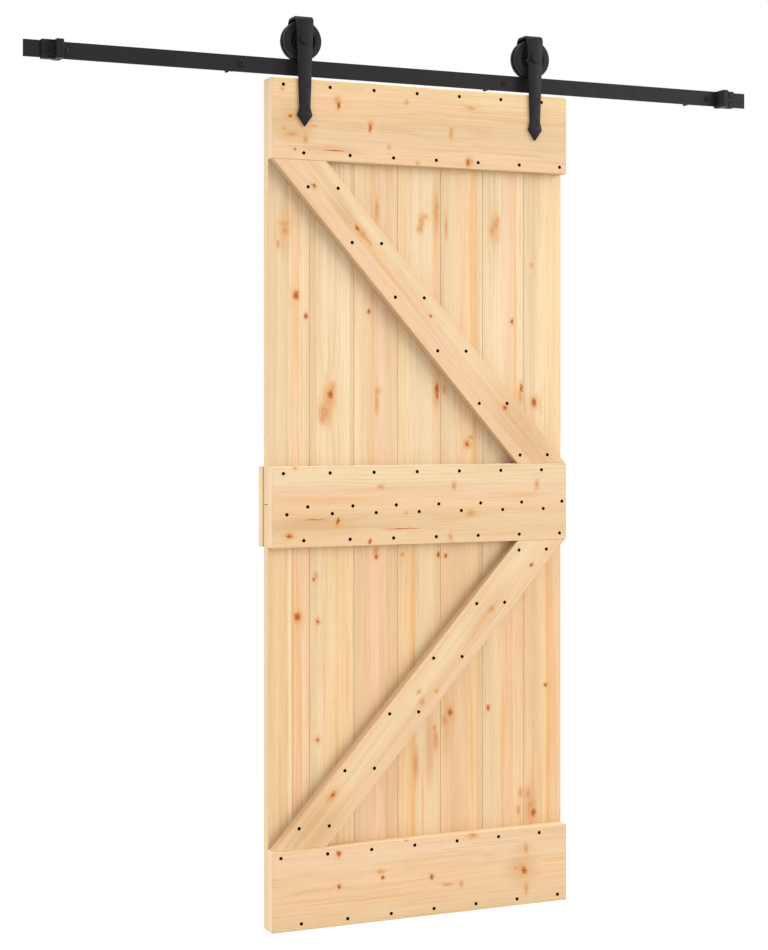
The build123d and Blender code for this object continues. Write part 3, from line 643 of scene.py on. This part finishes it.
def spin(shape, outline, place, segments, closed):
    """Adds an outline of (radius, y), turned round an axis along Y through the place."""
    rings = []
    for r, y in outline:
        if r == 0:
            rings.append([shape.verts.new(place + Vector((0, y * MM, 0)))])
            continue
        turns = [2 * math.pi * index / segments for index in range(segments)]
        arms = [Vector((r * math.cos(turn), y, r * math.sin(turn))) * MM for turn in turns]
        rings.append([shape.verts.new(place + arm) for arm in arms])
    pairs = list(zip(rings, rings[1:]))
    if closed:
        pairs.append((rings[-1], rings[0]))
    for one, two in pairs:
        for index in range(segments):
            after = (index + 1) % segments
            corners = []
            for ring, spot in ((one, index), (one, after), (two, after), (two, index)):
                vert = ring[spot % len(ring)]
                if vert not in corners:
                    corners.append(vert)
            if len(corners) > 2:
                shape.faces.new(corners)


def turned(outline, segments, closed=False, place=Vector((0, 0, 0))):
    """A solid turned from an outline that starts and ends on the axis, or that is closed."""
    shape = bmesh.new()
    spin(shape, outline, place, segments, closed)
    bmesh.ops.recalc_face_normals(shape, faces=shape.faces)
    return shape


def skinned(rings):
    """A solid from rings of points, each with the same count."""
    shape = bmesh.new()
    made = [[shape.verts.new(Vector(point) * MM) for point in ring] for ring in rings]
    for one, two in zip(made, made[1:]):
        for index in range(len(one)):
            after = (index + 1) % len(one)
            shape.faces.new((one[index], one[after], two[after], two[index]))
    shape.faces.new(made[0])
    shape.faces.new(made[-1][::-1])
    bmesh.ops.recalc_face_normals(shape, faces=shape.faces)
    return shape


def prism(outline, y0, y1):
    """A solid of an (x, z) outline between two depths."""
    return skinned([[(x, y, z) for x, z in outline] for y in (y0, y1)])


def polygon(sides, radius, turn=0.0):
    angles = [turn + 2 * math.pi * index / sides for index in range(sides)]
    return [(radius * math.cos(angle), radius * math.sin(angle)) for angle in angles]


def cross(arm, half):
    """A plus sign's outline."""
    outline = []
    for turn in range(4):
        c, s = round(math.cos(turn * math.pi / 2)), round(math.sin(turn * math.pi / 2))
        outline += [(x * c - z * s, x * s + z * c) for x, z in ((arm, -half), (arm, half), (half, half))]
    return outline


def combined(base, tool, operation="DIFFERENCE"):
    """One bmesh cut by another, or kept where they overlap."""
    objects = []
    for shape in (base, tool):
        mesh = bpy.data.meshes.new("blank")
        shape.to_mesh(mesh)
        shape.free()
        obj = bpy.data.objects.new("blank", mesh)
        scene.collection.objects.link(obj)
        objects.append(obj)
    cut = objects[0].modifiers.new("cut", "BOOLEAN")
    cut.operation = operation
    cut.solver = "EXACT"
    cut.object = objects[1]
    ready = objects[0].evaluated_get(bpy.context.evaluated_depsgraph_get())
    result = bmesh.new()
    result.from_mesh(ready.data)
    for obj in objects:
        bpy.data.objects.remove(obj)
    bmesh.ops.remove_doubles(result, verts=result.verts, dist=MERGE)
    return result


def copies(shape, places):
    """The same bmesh at each place."""
    mesh = bpy.data.meshes.new("blank")
    shape.to_mesh(mesh)
    shape.free()
    result = bmesh.new()
    for place in places:
        start = len(result.verts)
        result.from_mesh(mesh)
        result.verts.ensure_lookup_table()
        bmesh.ops.translate(result, verts=result.verts[start:], vec=place)
    return result


def islands(name):
    """(lowest corner, highest corner) of each separate solid of a CAD node, from left to right."""
    shape = bmesh.new()
    shape.from_mesh(nodes[name].data)
    bmesh.ops.remove_doubles(shape, verts=shape.verts, dist=CAD_MERGE)
    left = set(shape.verts)
    found = []
    while left:
        reached = [left.pop()]
        island = list(reached)
        while reached:
            vert = reached.pop()
            for edge in vert.link_edges:
                other = edge.other_vert(vert)
                if other in left:
                    left.remove(other)
                    reached.append(other)
                    island.append(other)
        spans = [[vert.co[axis] for vert in island] for axis in range(3)]
        found.append((Vector([min(span) for span in spans]), Vector([max(span) for span in spans])))
    shape.free()
    return sorted(found, key=lambda corners: (round(corners[0][0], 5), corners[0][2]))


def front(low, high):
    """The middle of a box's front face."""
    return Vector(((low[0] + high[0]) / 2, low[1], (low[2] + high[2]) / 2))


def fronts(name):
    """The middle of the front face of each solid of a CAD node."""
    return [front(low, high) for low, high in islands(name)]


def middle(name):
    low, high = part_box(name)
    return (Vector(low) + Vector(high)) / 2


def add_piece(name, node, shape, material=steel, slot="black_steel", body="door"):
    """Makes a piece from a bmesh: it rides on the body and stands for the CAD node."""
    mesh = bpy.data.meshes.new(name)
    bmesh.ops.recalc_face_normals(shape, faces=shape.faces)
    shape.to_mesh(mesh)
    shape.free()
    mesh.shade_smooth()
    mesh.set_sharp_from_angle(angle=math.radians(32))
    obj = bpy.data.objects.new(name, mesh)
    scene.collection.objects.link(obj)
    finish_with(obj, material)
    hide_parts(node)
    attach(obj, body)


def repeated(name, node, shape, **settings):
    """Puts the shape at each solid of the node."""
    add_piece(name, node, copies(shape, fronts(node)), **settings)


# Wood screws: flat black heads, a little proud of the wood, with a shallow cross recess
def screw_shape():
    outline = [(0, 0), (4.2, 0), (4.45, 0.3), (1.8, 3.5), (1.7, 20), (0, 48)]
    recess = prism(cross(2.0, 0.5), -0.5, 0.2)
    return combined(turned(outline, 28), recess)


for part in ("top_board", "middle_board", "bottom_board", "upper_brace", "lower_brace"):
    name = part + "_screws"
    repeated(name + "_heads", name, screw_shape(), material=screw_black)


# Wheels, turned from steel
def wheel_outline(half, flange):
    """The wheel's section as (radius, y, fillet): seat of the bearing, hub, web, rim and groove."""
    seat, hub, hub_half = 16, 21.5, 7
    web_half, rim = 6.2, 29
    groove, groove_half = 46, 4.25
    edge = [(seat, hub_half, 0.4), (hub - 1.5, hub_half, 0.6), (hub, web_half, 0.6), (rim, web_half, 1.5),
            (rim + 2, half - 1.2, 1.2), (rim + 3.4, half, 0.6), (flange, half, 2.6),
            (flange, groove_half, 0.8), (groove, groove_half, 0.5)]
    return edge + [(r, -y, fillet) for r, y, fillet in reversed(edge)]


def wheel_shape(name):
    low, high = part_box(name)
    half = (high[1] - low[1]) / MM / 2
    flange = (high[0] - low[0]) / MM / 2
    loop = rounded(wheel_outline(half, flange), closed=True)
    return turned(loop, 128, closed=True, place=middle(name))


for side in SIDES:
    name = "wheel_" + side
    add_piece(name + "_turned", name, wheel_shape(name), body=name)


# Straps: one flat bar each, which widens from its neck up and is bent over the wheel
STRAP_THICK = 6.0
STRAP_EASE = 0.7
STRAP_BEND = 16.0
TIP_HALF = 0.3
POINT_HEIGHT = -121.0
POINT_HALF = 19.5
NECK_HEIGHT = -101.0
NECK_HALF = 14.1
REAR_REACH = 24.0
REAR_ROUND = 10.0
TAPER_STEPS = 15
BEND_STEPS = 12
REAR_STEPS = 8

# Strap bolts are countersunk in the straps, and axle bolts go through a plain hole
BOLT_RADIUS = 4.0
BOLT_HEAD = 8.0
BOLT_SINK = 4.0
AXLE_RADIUS = 6.0
HOLE_GAP = 0.15
AXLE_GAP = 0.1
AXLE_HOLE_DEPTH = 80
THREAD_LENGTH = 15.5


def quarter(steps):
    """Angles from 0 to a quarter turn."""
    return [math.pi / 2 * step / steps for step in range(steps + 1)]


def strap_path(side, axle):
    """The strap's outer face from its tip up, over the wheel and down behind, as (y, z, half width)."""
    low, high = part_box("strap_" + side)
    near, far, tip, top = (edge / MM for edge in (low[1], high[1], low[2], high[2]))
    half = (high[0] - low[0]) / MM / 2
    bend, bend_height = STRAP_BEND, top - STRAP_BEND
    path = [(near, tip + 0.01, TIP_HALF), (near, POINT_HEIGHT - 0.4, POINT_HALF - 0.3),
            (near, POINT_HEIGHT, POINT_HALF), (near, POINT_HEIGHT + 0.4, POINT_HALF - 0.2)]
    for step in range(TAPER_STEPS):
        share = step / TAPER_STEPS
        height = NECK_HEIGHT + (bend_height - NECK_HEIGHT) * share
        path.append((near, height, NECK_HALF + (half - NECK_HALF) * share))
    for turn in quarter(BEND_STEPS):
        path.append((near + bend - bend * math.cos(turn), bend_height + bend * math.sin(turn), half))
    for turn in quarter(BEND_STEPS):
        path.append((far - bend + bend * math.sin(turn), bend_height + bend * math.cos(turn), half))
    rear_height = axle - REAR_REACH + REAR_ROUND
    for turn in quarter(REAR_STEPS):
        narrowing = REAR_ROUND - REAR_ROUND * math.cos(turn)
        path.append((far, rear_height - REAR_ROUND * math.sin(turn), half - narrowing))
    return path


def bar_section(half):
    """A flat bar's section with eased edges, as (across, deep)."""
    soft = min(STRAP_EASE, half * 0.4)
    ease = soft * 0.3
    corner = [(half - soft, 0), (half - ease, ease), (half, soft)]
    right = corner + [(across, STRAP_THICK - deep) for across, deep in reversed(corner)]
    return right + [(-across, deep) for across, deep in reversed(right)]


def strap_shape(side):
    low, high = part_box("strap_" + side)
    centre = (low[0] + high[0]) / 2
    axle = middle("wheel_" + side)[2]
    path = strap_path(side, axle / MM)
    rings = []
    for index, (y, z, half) in enumerate(path):
        before = path[max(index - 1, 0)]
        after = path[min(index + 1, len(path) - 1)]
        along = Vector((after[0] - before[0], after[1] - before[1])).normalized()
        rings.append([(centre / MM + across, y + along[1] * deep, z - along[0] * deep)
                      for across, deep in bar_section(half)])
    shape = skinned(rings)
    sink = [(0, -1), (BOLT_HEAD + 0.7, -1), (BOLT_HEAD + HOLE_GAP, 0), (BOLT_RADIUS + HOLE_GAP, BOLT_SINK),
            (BOLT_RADIUS + HOLE_GAP, STRAP_THICK + 1), (0, STRAP_THICK + 1)]
    for place in fronts("strap_bolts"):
        if low[0] < place[0] < high[0]:
            shape = combined(shape, turned(sink, HOLE_SIDES, place=place))
    radius = AXLE_RADIUS + AXLE_GAP
    hole = [(0, -1), (radius, -1), (radius, AXLE_HOLE_DEPTH), (0, AXLE_HOLE_DEPTH)]
    return combined(shape, turned(hole, HOLE_SIDES, place=Vector((centre, low[1], axle))))


for side in SIDES:
    name = "strap_" + side
    add_piece(name + "_bent", name, strap_shape(side))


# Bolts, nuts and washers
def threaded(radius, pitch, depth, y0, y1, segments=24, rows=8):
    """Rows of a bar's skin with a helical thread, from y0 to y1."""
    count = max(2, round((y1 - y0) / pitch * rows))
    skin = []
    for row in range(count + 1):
        y = y0 + (y1 - y0) * row / count
        ring = []
        for index in range(segments):
            turn = 2 * math.pi * index / segments
            place = (y / pitch + index / segments) % 1
            cut = depth * abs(2 * place - 1)
            ring.append(((radius - cut) * math.cos(turn), y, (radius - cut) * math.sin(turn)))
        skin.append(ring)
    return skin


def round_rings(outline, segments=24):
    turns = [2 * math.pi * index / segments for index in range(segments)]
    return [[(r * math.cos(t), y, r * math.sin(t)) for t in turns] for r, y in outline]


def wall_bolt_shape():
    """A low domed head with a hexagon socket, a plain shank and a coarse wood thread."""
    dome = [(0.6, 0), (3.4, 0.1), (6.0, 0.6), (7.9, 1.5), (8.8, 2.7), (9.0, 3.4), (9.0, 4.0)]
    shank = [(3.8, 4.0), (3.8, 79.5)]
    point = [(2.9, 122.5), (1.9, 126), (0.2, 130.0)]
    rings = round_rings(dome + shank) + threaded(4.0, 3.4, 1.1, 80.0, 122.0) + round_rings(point)
    return combined(skinned(rings), prism(polygon(6, 2.9), -1, 2.4))


def bolt_tail(radius, pitch, end):
    """The threaded end of a bolt, with a bevelled tip."""
    rings = threaded(radius, pitch, pitch * 0.45, end - THREAD_LENGTH, end - 0.8, 28, 6)
    rings += round_rings([(radius * 0.82, end - 0.4), (radius * 0.7, end)], 28)
    return rings


def hex_nut(across, height, hole):
    """A nut with its corners turned off at both ends."""
    corner = across / math.sqrt(3)
    blank = prism(polygon(6, corner, math.pi / 6), 0, height)
    bevel = (corner - across / 2) * 0.58
    face = across / 2 * 0.98
    disc = [(0, 0), (face, 0), (corner, bevel), (corner, height - bevel), (face, height), (0, height)]
    blank = combined(blank, turned(disc, 48), "INTERSECT")
    bore = [(0, -1), (hole + 1.1, -1), (hole + 0.6, 0), (hole, 0.7), (hole, height - 0.7),
            (hole + 0.6, height), (hole + 1.1, height + 1), (0, height + 1)]
    return combined(blank, turned(bore, HOLE_SIDES))


def washer_shape(outer, inner, thick=2.0):
    loop = [(inner, 0, 0.15), (outer, 0, 0.4), (outer, thick, 0.3), (inner, thick, 0.15)]
    return turned(rounded(loop, closed=True, steps=3), 56, closed=True)


def depth_of(name):
    low, high = islands(name)[0]
    return (high[1] - low[1]) / MM


def strap_bolt_shape():
    """A plain countersunk head and a shank that ends in a thread."""
    length = depth_of("strap_bolts")
    plain = length - THREAD_LENGTH - 0.5
    outline = [(BOLT_HEAD - 0.4, 0.0), (BOLT_HEAD, 0.25), (BOLT_RADIUS, BOLT_SINK + HOLE_GAP),
               (BOLT_RADIUS, plain)]
    return skinned(round_rings(outline, 28) + bolt_tail(BOLT_RADIUS, 1.25, length))


def axle_shape():
    """A wide round head, crowned a little, on the bar that the wheel turns on."""
    length = depth_of("axle_bolts")
    plain = length - THREAD_LENGTH - 0.5
    crown = [(0, 0, 0), (9.5, 0.15, 6), (12.6, 0.9, 1.2), (13.5, 2.2, 0.6), (13.5, 6, 0.2),
             (AXLE_RADIUS, 6, 0)]
    outline = [(max(r, 0.5), y) for r, y in rounded(crown)] + [(AXLE_RADIUS, plain)]
    rings = round_rings(outline, 56)
    for ring in bolt_tail(AXLE_RADIUS, 1.75, length):
        rings.append([point for point in ring for _ in range(2)])
    shape = skinned(rings)
    bmesh.ops.remove_doubles(shape, verts=shape.verts, dist=MERGE)
    return shape


repeated("wall_bolts_threaded", "wall_bolts", wall_bolt_shape(), body="track")
repeated("strap_bolts_threaded", "strap_bolts", strap_bolt_shape())
repeated("axle_bolts_threaded", "axle_bolts", axle_shape())
repeated("strap_nuts_hexagon", "strap_nuts", hex_nut(13.0, 6.5, BOLT_RADIUS + 0.05))
repeated("axle_nuts_hexagon", "axle_nuts", hex_nut(18.0, 10.0, AXLE_RADIUS + 0.05))
repeated("strap_washers_round", "strap_washers", washer_shape(9.0, BOLT_RADIUS + 0.1))
repeated("axle_washers_round", "axle_washers", washer_shape(11.0, AXLE_RADIUS + 0.1))


# Tubes: spacers behind the rail, and sleeves on the axles
def tube_loop(outer, inner, length, edge):
    loop = [(inner, 0, edge), (outer, 0, edge), (outer, length, edge), (inner, length, edge)]
    return rounded(loop, closed=True, steps=3)


spacer = turned(tube_loop(8.0, 4.3, depth_of("wall_spacers"), 0.6), 56, closed=True)
repeated("wall_spacers_round", "wall_spacers", spacer, body="track")
sleeves = bmesh.new()
for low, high in islands("axle_spacers"):
    outline = tube_loop(9.0, AXLE_RADIUS + 0.05, (high[1] - low[1]) / MM, 0.4)
    spin(sleeves, outline, front(low, high), 48, closed=True)
add_piece("axle_spacers_round", "axle_spacers", sleeves)


# Bearings
RACE_HALF = 6.98
RACE_BEVEL = 0.3
GROOVE_HALF = 4.0
GROOVE_DEPTH = 0.9


def race_loop(seat, track):
    """A race's section, with a groove for the balls in the face towards them."""
    side = 1 if track > seat else -1
    bevel = track - side * 0.2
    shoulder = GROOVE_HALF + 0.2
    loop = [(seat, -RACE_HALF), (bevel, -RACE_HALF), (track, RACE_BEVEL - RACE_HALF), (track, -shoulder)]
    for turn in [math.pi * step / 8 for step in range(9)]:
        loop.append((track - side * GROOVE_DEPTH * math.sin(turn), -GROOVE_HALF * math.cos(turn)))
    loop += [(track, shoulder), (track, RACE_HALF - RACE_BEVEL), (bevel, RACE_HALF), (seat, RACE_HALF)]
    return loop


def add_ground(node, shape, body):
    add_piece(node + "_ground", node, shape, bearing_steel, "bearing_steel", body)


for side in SIDES:
    race, balls, wheel = "outer_race_" + side, "bearing_balls_" + side, "wheel_" + side
    add_ground(race, turned(race_loop(15.98, 13.2), 96, closed=True, place=middle(race)), wheel)
    shape = bmesh.new()
    for low, high in islands(balls):
        place = Matrix.Translation((low + high) / 2)
        radius = (high[1] - low[1]) / 2
        bmesh.ops.create_uvsphere(shape, u_segments=24, v_segments=16, radius=radius, matrix=place)
    add_ground(balls, shape, wheel)
shape = bmesh.new()
for low, high in islands("inner_races"):
    spin(shape, race_loop(6.06, 8.85), (low + high) / 2, 72, closed=True)
add_ground("inner_races", shape, "door")


# Rail, stops and rubbers keep their CAD shapes, with eased edges
STEEL_ROUND = 0.5
RUBBER_ROUND = 0.4
dress("rail", steel, STEEL_ROUND)
for side in SIDES:
    dress("stop_" + side, steel, STEEL_ROUND)
    dress("stop_pad_" + side, black_rubber, RUBBER_ROUND)
    dress("stop_rubbers_" + side, black_rubber, RUBBER_ROUND)


def set_screw_shape():
    """A headless screw with a hexagon socket."""
    bar = turned([(0, 0), (2.4, 0), (2.95, 0.5), (2.95, 6), (0, 6)], 32)
    return combined(bar, prism(polygon(6, 1.7), -1, 2.6))


repeated("set_screws_round", "set_screws", set_screw_shape(), body="track")


# Studio: white all round, a pale floor, a soft key from the right, a fill from the left and a top light
def white_world():
    world = bpy.data.worlds.new("studio")
    scene.world = world
    world.use_nodes = True
    backdrop = world.node_tree.nodes["Background"]
    backdrop.inputs["Color"].default_value = (1, 1, 1, 1)
    backdrop.inputs["Strength"].default_value = 1.0


def sun(name, strength, angle, towards):
    light = bpy.data.lights.new(name, "SUN")
    light.energy = strength
    light.angle = math.radians(angle)
    obj = bpy.data.objects.new(name, light)
    obj.rotation_euler = Vector(towards).to_track_quat("-Z", "Y").to_euler()
    scene.collection.objects.link(obj)


def pale_floor(drop, reach):
    """A matt floor, so far below the object, that reaches so far to each side."""
    shape = bmesh.new()
    bmesh.ops.create_grid(shape, x_segments=1, y_segments=1, size=reach)
    mesh = bpy.data.meshes.new("floor")
    shape.to_mesh(mesh)
    shape.free()
    floor = bpy.data.objects.new("floor", mesh)
    floor.location = (0, 0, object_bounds()[0][2] - drop)
    scene.collection.objects.link(floor)
    paint = Tree("floor_white")
    paint.surface(FLOOR_WHITE, 0.95, gloss=0.0)
    finish_with(floor, paint.material)
    floor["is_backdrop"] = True


def photo_camera():
    """A camera that matches the photograph's perspective."""
    data = bpy.data.cameras.new("camera")
    data.lens = 72.53
    data.sensor_width = 36
    data.shift_y = -0.0743
    camera = bpy.data.objects.new("camera", data)
    camera.location = (-1.1082, -4.5043, -0.833)
    camera.rotation_euler = (math.radians(90), 0, math.radians(-23.5))
    scene.collection.objects.link(camera)
    scene.camera = camera


white_world()
sun("key", 3.65, 42, (-0.8, 0.6, -0.12))
sun("fill", 0.8, 60, (0.7, 0.0, -0.6))
sun("top", 2.3, 30, (0.0, 0.0, -1.0))
pale_floor(drop=0.4, reach=60)
photo_camera()
scene.view_settings.view_transform = "Standard"
